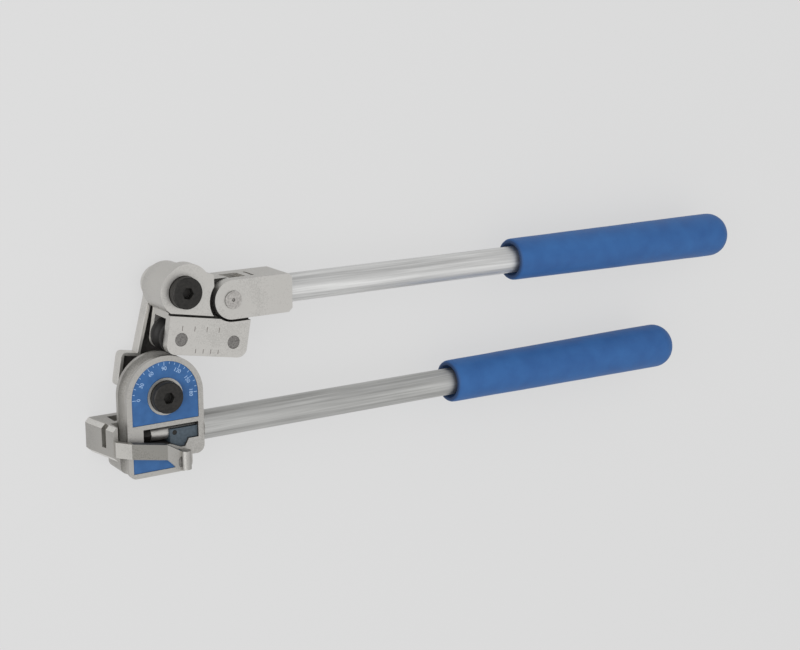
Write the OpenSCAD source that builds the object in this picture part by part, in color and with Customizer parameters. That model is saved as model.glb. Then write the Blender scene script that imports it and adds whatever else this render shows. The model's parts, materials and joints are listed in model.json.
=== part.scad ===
// Hand tube bender with a swinging roll support, lying on its back on a bench.
// X runs along the handles, Y from the fixed handle to the lever handle, Z up through the dial.
// The axis of the bend die stands at x = 0, y = 0, and z = 0 is the bench.

/* [Tube and bend] */
// Outside diameter of the tube that is bent
tube_od = 9.525; // [8.5:0.025:10.5]
// Bend radius at the middle of the tube
bend_r = 23.8; // [23:0.1:26]
// How far the rim of the die stands out past the middle of the tube
rim_land = 1; // [0.5:0.1:1.5]
// Angle the tube is bent to as the tool lies here
bend_at_rest = 100; // [96:1:104]

/* [Bend die] */
// Thickness of the die across its groove
die_t = 15.4; // [14.5:0.1:17]
// Width of the rim round the dial
dial_rim = 3.3; // [2.5:0.1:4]
// Depth of the recesses that hold the dial and the foot plate
dial_depth = 1; // [0.6:0.1:1.4]
// Thickness of the dial and the foot plate
dial_t = 0.6; // [0.3:0.1:0.6]
// From the die axis down to the straight edge of the dial
dial_drop = 15.8; // [15:0.1:16.5]
// Width of the rib under the dial
rib_w = 2.8; // [2:0.1:3.2]
// Width of the bright ring round the screw head
ring_w = 1.5; // [1:0.1:2.2]
// Height of that ring above the rim
ring_rise = 0.3; // [0.1:0.1:0.8]
// From the die axis down to the foot
foot_drop = 48; // [46:0.5:51]
// From the die axis to the right side of the foot
foot_right = 16.5; // [15.5:0.5:19]
// From the die axis down to the underside of the side lug
lug_drop = 38.5; // [37:0.5:40]
// Radius of the corners of the foot and the lug
foot_corner = 5; // [3:0.5:6]
// Width of the frame round the foot plate
frame_w = 3; // [2:0.1:4]
// Radius of the hub behind the die
hub_r = 12.5; // [11:0.5:13.5]
// How far the groove runs on past the half circle, in degrees
groove_runout = 12; // [4:1:16]

/* [Roll support] */
// Radius of a roller at the bottom of its groove
roller_core_r = 7; // [6.6:0.1:7.6]
// Distance between the two rollers
roller_pitch = 34.8; // [32:0.2:37]
// From the link's line to the near roller
roller_lead = 2.8; // [2:0.1:4]
// Diameter of the roller pins
roller_pin_d = 8; // [6.5:0.1:9]
// Thickness of the front side plate
plate_t = 5.8; // [5:0.1:7]
// Thickness of the rear side plate
rear_plate_t = 4; // [3.5:0.1:5]
// How far the side plates run on past the near roller
plate_end_near = 8.8; // [8:0.1:10]
// How far the side plates run on past the far roller
plate_end_far = 9.6; // [8:0.1:11]
// How far the side plates reach past the rollers towards the die
plate_reach = 9.3; // [8:0.1:9.6]
// Radius of the lower corners of the side plates
plate_corner = 6; // [4:0.5:7]
// Thickness of the bridge over the rollers
bridge_t = 4.2; // [3.6:0.1:5]
// Radius of the boss at the upper pivot
boss_r = 14.8; // [14.2:0.1:16]
// How far the boss stands out in front of the side plates
boss_proud = 1.2; // [0.6:0.1:2]
// How far the front of the boss swells out towards the clevis
boss_swell = 2.2; // [1.5:0.1:2.5]
// Width of the line cut between the boss and the front plate
line_w = 1.6; // [1:0.1:2]

/* [Link] */
// Distance between the die axis and the upper pivot
link_len = 64; // [62:0.5:67]
// Thickness of the link
link_t = 8.5; // [7.5:0.1:10]
// Radius of the link's eye at the upper pivot
link_eye_r = 10.9; // [10.5:0.1:12]
// Half the width of the arm at its upper end
arm_top_half = 8; // [6:0.5:9]
// Half the width of the arm at its lower end
arm_low_half = 11; // [9:0.5:12]
// Width of the rim round the hollow in the link's front
link_rim = 2; // [1.6:0.1:2.6]
// Depth of that hollow
link_hollow = 5; // [3:0.1:5.5]
// How far the shoulder of the link reaches out to the left
shoulder_reach = 21.2; // [19:0.1:24]
// From the die axis up to the top of the shoulder
shoulder_rise = 21.4; // [19:0.2:22]
// Radius of the link's lower end
link_foot_r = 13.5; // [12:0.5:15]
// Radius of the corners of the shoulder
shoulder_corner = 3; // [2:0.5:5]

/* [Screws] */
// Diameter of the heads of the two pivot screws
head_d = 19.05; // [18:0.05:20]
// Height of those heads
head_h = 7.9; // [7:0.1:8.6]
// How far the heads stand out
head_proud = 5.4; // [4.5:0.1:6]
// Width across the flats of the hexagon sockets
hex_w = 6.35; // [5:0.05:8]
// Depth of the hexagon sockets
hex_depth = 4.2; // [3:0.1:5]
// Diameter of the screws' plain shoulders
shoulder_d = 12.7; // [11.5:0.1:13]
// Diameter of the screws' threads
thread_d = 9.5; // [8:0.1:10.5]
// Diameter of the set screws under the foot and the clevis
set_screw_d = 6.35; // [5:0.05:8]
// Width across the flats of the lock nuts
nut_w = 14.3; // [13.5:0.1:16]
// Thickness of the lock nuts
nut_t = 5.2; // [4:0.1:5.4]
// Wall of the bronze bushes
bush_wall = 1.6; // [1:0.1:2]
// Thickness of the bushes' flanges and of the thrust washers
washer_t = 0.8; // [0.4:0.1:1]

/* [Clevis] */
// From the link's line to the clevis pin, along the side plates
clevis_out = 33.2; // [32.5:0.1:35]
// How far the clevis pin lies below the upper pivot
clevis_drop = 2.7; // [2:0.1:3.4]
// Height of the clevis
clevis_h = 24; // [22:0.2:24.6]
// Width of the clevis across its prongs
clevis_w = 28; // [26:0.2:30]
// From the clevis pin to the back end of the clevis
clevis_len = 40.5; // [37:0.5:44]
// Bevel at the back corners of the clevis
clevis_bevel = 2.4; // [1:0.1:3.5]
// Thickness of the tongue between the prongs
tongue_t = 12; // [10:0.2:13]
// Radius of the tongue's end
tongue_r = 11.7; // [11:0.1:11.9]
// Diameter of the clevis pin
clevis_pin_d = 8; // [7:0.1:9]
// Diameter of the clevis pin's head
clevis_head_d = 11; // [10:0.1:12]
// How far that head stands out
clevis_head_h = 0.8; // [0.4:0.1:1.4]
// Width of the gap round the prongs beside the boss
prong_gap = 3.8; // [2:0.1:4.2]
// From the clevis pin to the cut across the top of the clevis
clevis_cut_x = 17; // [15.5:0.1:20]
// Width and depth of that cut
clevis_cut_w = 1.6; // [1:0.1:2]
// How far the lever handle swings up from its stop, in degrees
lever_swing = 90; // [80:1:95]

/* [Handles] */
// Diameter of the handle rods
rod_d = 18; // [16:0.1:18.5]
// Wall of the hollow part of the rods
rod_wall = 3; // [2:0.1:4]
// Length of the rods' solid ends, from the head
rod_solid = 45; // [35:1:60]
// From the die axis down to the axis of the fixed handle
handle_drop = 23.7; // [23.4:0.1:24.2]
// Depth of the lever handle's rod in the clevis
rod_seat = 16; // [13:0.5:17]
// From the die axis to the inner end of the fixed grip
low_grip_x = 210.5; // [198:0.5:225]
// From the die axis to the inner end of the lever grip
high_grip_x = 261.5; // [248:0.5:275]
// Length of the grips
grip_len = 198; // [185:1:210]
// Diameter of a grip at its inner end
grip_in_d = 28.6; // [27:0.1:30]
// Diameter of a grip near its outer end
grip_out_d = 31.6; // [30.5:0.1:34]
// Radius of the rounding at a grip's outer end
grip_round = 13; // [9:0.5:14]
// Thickness of the closed end of a grip
grip_end_t = 6; // [4:0.5:9]
// Depth of the open lip at a grip's inner end
lip_depth = 3; // [2:0.1:5]
// Gap between the lip and the rod
lip_gap = 1.6; // [0.8:0.1:2.4]

/* [Handle anchor] */
// Diameter of the stud that goes through the die's side
stud_d = 8.4; // [7.5:0.1:8.8]
// Diameter of the stud's threaded end
stud_thread_d = 5.6; // [4.5:0.1:6.2]
// Thickness of the die's side wall at the stud
side_wall = 3.8; // [3:0.1:4.6]
// Length of the anchor block
anchor_len = 18; // [16:0.1:19]
// How far the anchor's face lies behind the die's face
anchor_sink = 1.6; // [0.8:0.1:2.2]
// Length of the sleeve between the anchor and the nut
sleeve_len = 11.5; // [9:0.1:12.5]
// Outside diameter of the sleeve
sleeve_d = 9.4; // [8.6:0.1:9.8]
// Width across the flats of the nut on the stud
stud_nut_w = 9; // [8:0.1:9.6]
// Thickness of that nut
stud_nut_t = 4.8; // [4:0.1:5.4]
// Diameter of the pin across the anchor and the stud
cross_pin_d = 3; // [2:0.1:4]
// Thickness of the die behind the window
window_back = 1.6; // [1.2:0.1:2]

/* [Tube latch] */
// From the die axis to the latch's pivot, along the handles
latch_pivot_x = 8.5; // [8:0.1:9.5]
// From the die axis down to the latch's pivot
latch_pivot_drop = 41; // [40.4:0.1:41.6]
// Diameter of the latch's pin
latch_pin_d = 7; // [6:0.1:7.6]
// Wall of the latch to the left of the tube
latch_wall = 7.9; // [6.5:0.1:9]
// Drop of the top of the latch's block below the die axis
latch_top = 16; // [15.6:0.1:17]
// Height of the latch's block
latch_h = 20.8; // [19:0.1:21]
// Bevel along the edges of the latch's block
latch_bevel = 2.4; // [1:0.1:3]
// Height of the strap in front
strap_h = 9.4; // [8.5:0.1:10]
// Thickness of the strap in front
strap_t = 5.2; // [4.5:0.1:6.5]
// Drop of the strap's top edge below the die axis, at the left
strap_top = 24.2; // [23.6:0.1:25]
// Fall of the strap from the left to the bend near its pivot
strap_fall = 4.2; // [3.6:0.1:4.8]
// How far the strap's face falls back towards its knuckle
strap_bend = 1.8; // [1:0.1:2.4]
// Radius of the upright knuckle at the strap's end
knuckle_r = 3.1; // [2.6:0.1:3.6]
// How far that knuckle reaches above the latch's eye
knuckle_rise = 1.5; // [1:0.1:2]
// Thickness of the strap over the end of the latch's pin
pin_cover = 1.4; // [1:0.1:1.8]
// Radius of the latch's eyes
latch_eye_r = 5.2; // [4.8:0.1:5.6]
// Thickness of the leg behind
leg_t = 5; // [4:0.1:6]
// Width of the groove in the latch's outer face
latch_groove_w = 4.4; // [3:0.1:6]
// From the middle of the tube back to the rear edge of that groove
latch_groove_back = 9.7; // [9:0.1:10.5]
// Wall left between that groove and the tube
latch_groove_wall = 2.4; // [2:0.1:3]
// How far the latch's outer face leans in towards the front
latch_lean = 5; // [4:0.1:6]

/* [Clearances] */
// Between a turning pin and its bore
run_clear = 0.05; // [0.02:0.01:0.1]
// Between a fixed piece and its seat
seat_clear = 0.03; // [0.01:0.01:0.05]
// Between flat faces that slide past each other
side_clear = 0.3; // [0.2:0.05:0.4]
// Between the tube and the grooves that hold it
groove_clear = 0.1; // [0.05:0.01:0.2]
// Between the link and the side plate in front of it, where a washer lies
link_gap = 2.5; // [2:0.1:3]
// Around parts that swing past each other
swing_clear = 1.5; // [1:0.1:1.8]
// Between the clevis and its stop
stop_clear = 0.1; // [0.05:0.05:0.3]

/* [Hidden] */
$fn = 96;

// A cut runs this far past a face
past = 1;

// The tube, its groove and the rim
tube_r = tube_od / 2;
groove_r = tube_r + groove_clear;
rim_r = bend_r + rim_land;

// Heights of the layers, from the bench up
leg_back = 0;
leg_front = leg_back + leg_t;
link_back = leg_front + 2 * side_clear;
link_front = link_back + link_t;
support_back = link_front + link_gap;
channel_back = support_back + rear_plate_t;
mid_z = channel_back + die_t / 2;
die_back = mid_z - die_t / 2;
die_front = mid_z + die_t / 2;
channel_front = die_front;
support_front = channel_front + plate_t;
boss_front = support_front + boss_proud;
base_back = leg_front + side_clear;
strap_back = die_front + side_clear;
strap_front = strap_back + strap_t;

// Places in the frame of the link, whose line runs up its own Y axis
link_turn = 90 - bend_at_rest;
handle_turn = -link_turn;
roller_v = bend_r + tube_r + roller_core_r;
roller_flange_r = roller_v - rim_r - side_clear;
near_u = roller_lead;
far_u = roller_lead + roller_pitch;
plate_u0 = near_u - plate_end_near;
plate_u1 = far_u + plate_end_far;
plate_v0 = roller_v - plate_reach;
bridge_v0 = roller_v + roller_flange_r + 2 * side_clear;
bridge_v1 = bridge_v0 + bridge_t;
clevis_u = clevis_out;
clevis_v = link_len - clevis_drop;
clevis_half = clevis_h / 2;

// The screws
head_r = head_d / 2;
head_bore_r = head_r + side_clear;
shoulder_r = shoulder_d / 2;
thread_r = thread_d / 2;
bush_bore_r = shoulder_r + run_clear;
bush_r = bush_bore_r + bush_wall;
die_head_z = die_front + head_proud - head_h;
upper_head_z = boss_front + head_proud - head_h;
nut_back = link_back - nut_t;

// The dial, the window under it and the foot
dial_r = rim_r - dial_rim;
ring_r = head_bore_r + ring_w;
window_top = -dial_drop - rib_w;
window_floor = die_back + window_back;
anchor_right = rim_r - side_wall;
anchor_left = anchor_right - anchor_len;
anchor_top = window_top - rib_w;
anchor_front = die_front - anchor_sink;
sleeve_left = anchor_left - sleeve_len;
stud_nut_left = sleeve_left - stud_nut_t;
window_left = stud_nut_left - swing_clear;
window_low = -handle_drop - stud_nut_w / 2 - swing_clear;
lug_top = -handle_drop - stud_d / 2 - side_clear;
plate_low = frame_w - foot_drop;
plate_left = frame_w - rim_r;
plate_right = latch_pivot_x;
plate_high = window_low - frame_w;
plate_top = plate_high - frame_w / 2;
hub_back = link_front + washer_t + 2 * seat_clear;

// The latch
latch_x1 = -bend_r - tube_r - groove_clear;
latch_x0 = latch_x1 - latch_wall;
latch_y1 = -latch_top;
latch_y0 = latch_y1 - latch_h;
latch_relief = latch_x1 - swing_clear;
latch_py = -latch_pivot_drop;
strap_x0 = -rim_r;
strap_x1 = -latch_pivot_x / 4;
strap_y = -strap_top;
base_rear_top = -shoulder_reach - swing_clear;
rear_reach = norm([latch_pivot_x + rim_r, foot_drop - latch_pivot_drop]);
lean_top = mid_z + latch_groove_w / 2 + past;
lean_turn = atan(latch_lean / (lean_top - leg_front));
knuckle_x = latch_pivot_x + latch_eye_r - knuckle_r;
knuckle_low = latch_py - latch_eye_r + side_clear;
knuckle_high = latch_py + latch_eye_r + knuckle_rise;

// The tongue and the clevis
tongue_back = mid_z - tongue_t / 2;
tongue_front = mid_z + tongue_t / 2;
web_bite = side_clear;
tongue_bush_r = clevis_pin_d / 2 + run_clear + bush_wall;
slot_half = tongue_t / 2 + side_clear;
crotch = tongue_r + 3 * side_clear;
prong_cut_r = clevis_half + swing_clear;
swing_end = handle_turn + lever_swing;

// The rods and grips
rod_r = rod_d / 2;
rod_bore_r = rod_r - rod_wall;
grip_bore_r = rod_r + run_clear;
pin_at = [clevis_u * cos(link_turn) - clevis_v * sin(link_turn),
          clevis_u * sin(link_turn) + clevis_v * cos(link_turn)];
lever_rod_x = pin_at[0] + clevis_len - rod_seat;

// Colours
steel = [0.72, 0.71, 0.69];
rod_steel = [0.62, 0.62, 0.62];
slate = [0.30, 0.35, 0.39];
black_oxide = [0.10, 0.10, 0.11];
pin_steel = [0.35, 0.34, 0.34];
bronze = [0.66, 0.50, 0.30];
blue = [0.13, 0.33, 0.66];

// A flat shape as a slab from height z0 to height z1
module slab(z0, z1) {
    translate([0, 0, z0]) linear_extrude(z1 - z0) children();
}

// A round post from height z0 to height z1
module post(x, y, z0, z1, r) {
    translate([x, y, z0]) cylinder(r = r, h = z1 - z0);
}

// A rectangle with round corners, between two opposite corners
module round_rect(x0, y0, x1, y1, r) {
    translate([x0 + r, y0]) square([x1 - x0 - 2 * r, y1 - y0]);
    translate([x0, y0 + r]) square([x1 - x0, y1 - y0 - 2 * r]);
    for (x = [x0 + r, x1 - r], y = [y0 + r, y1 - r]) translate([x, y]) circle(r);
}

// A rectangle between two opposite corners
module rect(x0, y0, x1, y1) {
    translate([x0, y0]) square([x1 - x0, y1 - y0]);
}

// Puts its children in the frame of the link as the tool lies here
module on_link() {
    rotate([0, 0, link_turn]) children();
}

// A bar along X at height mid_z
module bar(x0, x1, y, r) {
    translate([x0, y, mid_z]) rotate([0, 90, 0]) cylinder(r = r, h = x1 - x0);
}

// A hexagon prism along its own Z, w across the flats
module hexagon(w, h) {
    cylinder(d = w / cos(30), h = h, $fn = 6);
}

// Outline of the boss, the tongue and the web that joins them
module boss_to_tongue() {
    span = norm([clevis_out, clevis_drop]);
    lean = asin((boss_r - tongue_r) / span);
    heading = atan2(-clevis_drop, clevis_out);
    side = function(at, r, a) [at[0] + (r - web_bite) * cos(a), at[1] + (r - web_bite) * sin(a)];
    boss_at = [0, link_len];
    tongue_at = [clevis_u, clevis_v];
    over = heading + 90 - lean;
    under = heading - 90 + lean;
    translate(boss_at) circle(boss_r);
    translate(tongue_at) circle(tongue_r);
    polygon([side(boss_at, boss_r, under), side(tongue_at, tongue_r, under),
             side(tongue_at, tongue_r, over), side(boss_at, boss_r, over)]);
}

// Outline of the die's disc, lug and foot
module die_outline() {
    circle(rim_r);
    round_rect(-rim_r, -lug_drop, rim_r, foot_corner, foot_corner);
    round_rect(-rim_r, -foot_drop, foot_right, -dial_drop, foot_corner);
    rect(-rim_r, -lug_drop, 0, 0);
}

// Outline of the dial, less the ring round the screw head
module dial_outline(gap) {
    difference() {
        union() {
            intersection() {
                circle(dial_r - gap);
                rect(-rim_r, 0, rim_r, rim_r);
            }
            rect(gap - dial_r, -dial_drop + gap, dial_r - gap, 0);
        }
        circle(ring_r + gap);
    }
}

// Outline of the foot plate, less the pad under the latch's eye
module foot_plate_outline(gap) {
    difference() {
        rect(plate_left + gap, plate_low + gap, plate_right - gap, plate_top - gap);
        translate([latch_pivot_x, latch_py]) circle(latch_eye_r + gap);
    }
}

// Outline of the window that holds the handle's anchor
module window_outline() {
    rect(window_left, window_low, anchor_left, window_top);
    rect(anchor_left - past, lug_top, anchor_right, window_top);
    polygon([[anchor_left - past, lug_top + past], [anchor_left - past, window_low],
             [anchor_left + anchor_len / 3, plate_high], [anchor_left + anchor_len / 2, plate_high],
             [anchor_right - anchor_len / 3, lug_top + past]]);
}

// Outline of the deep rear of the foot, inside the sweep of the latch's web
module foot_rear_outline() {
    intersection() {
        round_rect(-rim_r, -foot_drop, foot_right, base_rear_top, foot_corner);
        translate([latch_pivot_x, latch_py]) circle(rear_reach);
    }
}

// The bend die with its dial recess, window, foot and rear hub
module bend_die() {
    color(steel) difference() {
        union() {
            slab(die_back, die_front) die_outline();
            slab(base_back, mid_z) foot_rear_outline();
            post(0, 0, hub_back, mid_z, hub_r);
            post(0, 0, mid_z, die_front + ring_rise, ring_r);
        }
        translate([0, 0, mid_z]) rotate([0, 0, -groove_runout])
            rotate_extrude(angle = 180 + groove_runout) translate([bend_r, 0]) circle(groove_r);
        translate([-bend_r, side_clear, mid_z]) rotate([90, 0, 0])
            cylinder(r = groove_r + run_clear, h = side_clear + foot_drop + past);
        slab(die_front - dial_depth, die_front + past) dial_outline(0);
        slab(die_front - dial_depth, die_front + past) foot_plate_outline(0);
        slab(window_floor, die_front + past) window_outline();
        post(0, 0, die_head_z - washer_t, die_front + ring_rise + past, head_bore_r);
        post(0, 0, hub_back - past, die_front, bush_r + seat_clear);
        post(latch_pivot_x, latch_py, base_back - past, die_front + past, latch_pin_d / 2 + seat_clear);
        bar(anchor_right - past, rim_r + past, -handle_drop, stud_d / 2 + seat_clear);
        translate([latch_pivot_x, -foot_drop - past, mid_z]) rotate([-90, 0, 0])
            cylinder(d = set_screw_d, h = foot_drop - latch_pivot_drop);
    }
}

// The blue dial with its degree scale
module dial_plate() {
    color(blue) slab(die_front - dial_depth, die_front - dial_depth + dial_t) dial_outline(2 * seat_clear);
}

// The blue plate on the foot
module foot_plate() {
    color(blue) slab(die_front - dial_depth, die_front - dial_depth + dial_t)
        foot_plate_outline(2 * seat_clear);
}

// A flanged bush on an upright axis, its flange at the top
module flanged_bush(z0, z1, bore_r, r, flange_r) {
    difference() {
        union() {
            post(0, 0, z0, z1, r);
            post(0, 0, z1 - washer_t + seat_clear, z1, flange_r);
        }
        post(0, 0, z0 - past, z1 + past, bore_r);
    }
}

// The bronze bush that the die turns in
module die_bush() {
    color(bronze) flanged_bush(hub_back, die_head_z - seat_clear, bush_bore_r, bush_r, head_r);
}

// The bronze washer between the die's hub and the link
module die_washer() {
    color(bronze) difference() {
        post(0, 0, link_front + seat_clear, link_front + seat_clear + washer_t, hub_r);
        post(0, 0, link_front - past, hub_back + past, bush_bore_r);
    }
}

// The fixed handle's rod with its stud
module fixed_handle_rod() {
    grip_end = low_grip_x + grip_len;
    color(rod_steel) difference() {
        union() {
            bar(rim_r + seat_clear, grip_end - grip_end_t, -handle_drop, rod_r);
            bar(anchor_left, rim_r + past, -handle_drop, stud_d / 2);
            bar(stud_nut_left - seat_clear, anchor_left + past, -handle_drop, stud_thread_d / 2);
        }
        bar(rim_r + rod_solid, grip_end, -handle_drop, rod_bore_r);
        post(anchor_left + cross_pin_d, -handle_drop, window_floor, die_front, cross_pin_d / 2 + seat_clear);
    }
}

// The dark block that anchors the handle's stud in the window
module handle_anchor() {
    color(slate) difference() {
        slab(window_floor, anchor_front) {
            rect(anchor_left, lug_top + seat_clear, anchor_right - seat_clear, anchor_top);
            polygon([[anchor_left, lug_top + past], [anchor_left, window_low],
                     [anchor_left + anchor_len / 3, plate_high + seat_clear],
                     [anchor_left + anchor_len / 2 - seat_clear, plate_high + seat_clear],
                     [anchor_right - anchor_len / 3 - seat_clear, lug_top + past]]);
        }
        bar(anchor_left - past, anchor_right + past, -handle_drop, stud_d / 2 + seat_clear);
        post(anchor_left + cross_pin_d, -handle_drop, window_floor - past, die_front,
             cross_pin_d / 2 + seat_clear);
    }
}

// The pin across the anchor and the stud
module anchor_pin() {
    color(black_oxide)
        post(anchor_left + cross_pin_d, -handle_drop, window_floor, anchor_front, cross_pin_d / 2);
}

// The sleeve on the stud between the anchor and the nut
module stud_sleeve() {
    color(steel) difference() {
        bar(sleeve_left, anchor_left - seat_clear, -handle_drop, sleeve_d / 2);
        bar(sleeve_left - past, anchor_left + past, -handle_drop, stud_thread_d / 2 + seat_clear);
    }
}

// The black nut on the stud's end
module stud_nut() {
    color(black_oxide) difference() {
        translate([stud_nut_left, -handle_drop, mid_z]) rotate([0, 90, 0])
            hexagon(stud_nut_w, stud_nut_t - seat_clear);
        bar(stud_nut_left - past, sleeve_left + past, -handle_drop, stud_thread_d / 2 + seat_clear);
    }
}

// A grip on a rod that runs along X, closed and rounded at its outer end
module grip(x0, y) {
    inner_r = grip_in_d / 2;
    outer_r = grip_out_d / 2;
    swell = grip_len - 2 * grip_round;
    steps = 10;
    round_end = [for (i = [0 : steps]) [outer_r - grip_round + grip_round * cos(90 * i / steps),
                                       grip_len - grip_round + grip_round * sin(90 * i / steps)]];
    translate([x0, y, mid_z]) rotate([0, 90, 0]) rotate_extrude()
        polygon(concat([[rod_r + lip_gap, 0], [inner_r - lip_gap / 2, 0], [inner_r, lip_gap / 2],
                        [outer_r, swell]], round_end,
                       [[0, grip_len], [0, grip_len - grip_end_t + seat_clear],
                        [grip_bore_r, grip_len - grip_end_t + seat_clear],
                        [grip_bore_r, lip_depth], [rod_r + lip_gap, lip_depth - lip_gap / 2]]));
}

// The blue grip of the fixed handle
module fixed_grip() {
    color(blue) grip(low_grip_x, -handle_drop);
}

// The pin that the latch swings on
module latch_pin() {
    color(pin_steel)
        post(latch_pivot_x, latch_py, leg_back + seat_clear, strap_front - pin_cover - side_clear,
             latch_pin_d / 2);
}

// The screw under the foot that holds the latch's pin
module latch_pin_screw() {
    depth = foot_drop - latch_pivot_drop - latch_pin_d / 2 - 2 * seat_clear;
    color(black_oxide) translate([latch_pivot_x, -foot_drop, mid_z]) rotate([-90, 0, 0])
        difference() {
            cylinder(d = set_screw_d - 2 * seat_clear, h = depth);
            translate([0, 0, -past]) hexagon(set_screw_d / 2, depth / 2 + past);
        }
}

// Outline of the strap that crosses in front of the foot
module strap_outline() {
    right_y = strap_y - strap_fall;
    slope = 60;
    eye_u = latch_eye_r * cos(slope);
    eye_v = latch_eye_r * sin(slope);
    translate([latch_pivot_x, latch_py]) circle(latch_eye_r);
    rect(knuckle_x - knuckle_r / 2, latch_py, knuckle_x + knuckle_r / 2, knuckle_high);
    polygon([[strap_x0, strap_y - strap_h], [strap_x1, right_y - strap_h],
             [latch_pivot_x - eye_u, latch_py - eye_v], [latch_pivot_x + eye_u, latch_py + eye_v],
             [strap_x1, right_y], [strap_x0, strap_y]]);
}

// Outline of the latch's block, with its bevels
module latch_block_outline(x1) {
    polygon([[latch_x0 + latch_bevel, latch_y0], [x1, latch_y0], [x1, latch_y1],
             [latch_x0 + latch_bevel, latch_y1], [latch_x0, latch_y1 - latch_bevel],
             [latch_x0, latch_y0 + latch_bevel]]);
}

// Outline of the leg that crosses behind the foot
module leg_outline() {
    latch_block_outline(latch_x1);
    translate([latch_pivot_x, latch_py]) circle(latch_eye_r + past);
    polygon([[latch_x1 - past, latch_y0], [-rim_r, latch_y0],
             [latch_pivot_x, latch_py - latch_eye_r], [latch_pivot_x + latch_eye_r, latch_py + past],
             [-rim_r / 2, latch_y1], [latch_x1 - past, latch_y1]]);
}

// Outline of the web behind the die, clear of the rear of the foot as the latch swings
module latch_web_outline() {
    difference() {
        rect(latch_relief - past, latch_y0, -rim_r / 2, latch_y1);
        translate([latch_pivot_x, latch_py]) circle(rear_reach + 2 * side_clear);
    }
}

// Outline of the part of that web outside the sweep of the link's shoulder
module low_web_outline() {
    corner_at = [shoulder_reach - shoulder_corner, shoulder_rise - shoulder_corner];
    difference() {
        latch_web_outline();
        circle(norm(corner_at) + shoulder_corner + 2 * side_clear);
    }
}

// A flat shape in X and Z as a slab from y1 down to y0
module curtain(y0, y1) {
    translate([0, y1, 0]) rotate([90, 0, 0]) linear_extrude(y1 - y0) children();
}

// The yoke that holds the tube against the die: a block at the left, a strap in front and a leg behind
module tube_latch() {
    lean_bevel = latch_bevel * sqrt(2);
    color(steel) difference() {
        union() {
            slab(leg_back, leg_front) leg_outline();
            slab(leg_back, mid_z) latch_block_outline(latch_relief);
            slab(leg_front - past, die_back - side_clear) low_web_outline();
            slab(support_back - side_clear, die_back - side_clear) latch_web_outline();
            slab(die_back - side_clear, mid_z + latch_groove_w / 2) latch_block_outline(latch_x1);
            curtain(strap_y - strap_h, strap_y) polygon([
                [latch_x0 + latch_lean + side_clear, mid_z], [latch_x1, mid_z],
                [latch_x1, strap_back - latch_groove_w], [strap_x0 - side_clear, strap_back],
                [strap_x0 + past, strap_back],
                [strap_x0 + past, strap_front], [strap_x0, strap_front],
                [latch_x0 + latch_lean + side_clear, mid_z + latch_groove_w]]);
            slab(strap_back, strap_front) strap_outline();
            curtain(knuckle_low, knuckle_high)
                translate([knuckle_x, strap_front - strap_bend]) circle(knuckle_r);
        }
        translate([-bend_r, latch_y1 + past, mid_z]) rotate([90, 0, 0])
            cylinder(r = groove_r, h = latch_h + 2 * past);
        curtain(latch_y0 - past, latch_y1 + past) polygon([
            [latch_x0 - past, leg_front], [latch_x0, leg_front],
            [latch_x0 + latch_lean, lean_top], [latch_x0 - past, lean_top]]);
        for (y = [latch_y0, latch_y1]) translate([latch_x0, y, leg_front]) rotate([0, lean_turn, 0])
            rotate([0, 0, 45]) translate([-lean_bevel / 2, -lean_bevel / 2, 0])
                cube([lean_bevel, lean_bevel, lean_top]);
        curtain(knuckle_low - latch_eye_r, strap_y) polygon([
            [strap_x1, strap_front], [knuckle_x - knuckle_r, strap_front - strap_bend],
            [knuckle_x - knuckle_r, strap_front + past], [strap_x1, strap_front + past]]);
        translate([latch_x0 - past, latch_y0 + latch_h / 3, mid_z - latch_groove_back])
            cube([latch_wall - latch_groove_wall + past, latch_h, latch_groove_w]);
        post(latch_pivot_x, latch_py, leg_back - past, strap_front - pin_cover, latch_pin_d / 2 + run_clear);
    }
}

// Outline of the hollow in the front of the link
module link_hollow_outline() {
    left = link_rim - shoulder_reach;
    low = link_rim + shoulder_corner;
    side = arm_low_half - link_rim;
    side_top = arm_top_half - link_rim;
    difference() {
        polygon([[left, low], [side, low], [side, shoulder_rise], [side_top, link_len - link_eye_r],
                 [-side_top, link_len - link_eye_r], [-side, shoulder_rise + link_rim],
                 [-side, shoulder_rise - link_rim], [left, shoulder_rise - link_rim]]);
        circle(link_foot_r + past);
        translate([0, link_len]) circle(link_eye_r + past);
    }
}

// The link behind the die, with the shoulder at its lower end
module link_arm() {
    slope = 53;
    toe_r = link_foot_r - side_clear;
    color(steel) on_link() difference() {
        slab(link_back, link_front) {
            circle(link_foot_r);
            translate([0, link_len]) circle(link_eye_r);
            round_rect(-shoulder_reach, 0, arm_low_half, shoulder_rise, shoulder_corner);
            polygon([[-shoulder_reach, shoulder_corner],
                     [-toe_r * cos(slope), -toe_r * sin(slope)], [0, 0]]);
            polygon([[-arm_low_half, shoulder_rise - past], [arm_low_half, shoulder_rise - shoulder_corner],
                     [arm_top_half, link_len - link_eye_r / 2], [-arm_top_half, link_len - link_eye_r / 2]]);
            rect(-shoulder_reach / 2, 0, arm_low_half, shoulder_rise - shoulder_corner);
        }
        slab(link_front - link_hollow, link_front + past) link_hollow_outline();
        for (v = [0, link_len]) post(0, v, link_back - past, link_front + past, thread_r + seat_clear);
    }
}

// A pivot screw with a hexagon socket, standing on its threaded end
module pivot_screw(z_head) {
    bevel = ring_rise * 2;
    top = head_h - bevel;
    low = link_front - z_head;
    difference() {
        translate([0, 0, z_head]) rotate_extrude()
            polygon([[0, nut_back - z_head + bevel], [thread_r, nut_back - z_head + bevel], [thread_r, low],
                     [shoulder_r, low], [shoulder_r, 0], [head_r, 0], [head_r, top], [head_r - bevel, head_h],
                     [0, head_h]]);
        translate([0, 0, z_head + head_h - hex_depth]) hexagon(hex_w, hex_depth + past);
    }
}

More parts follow.
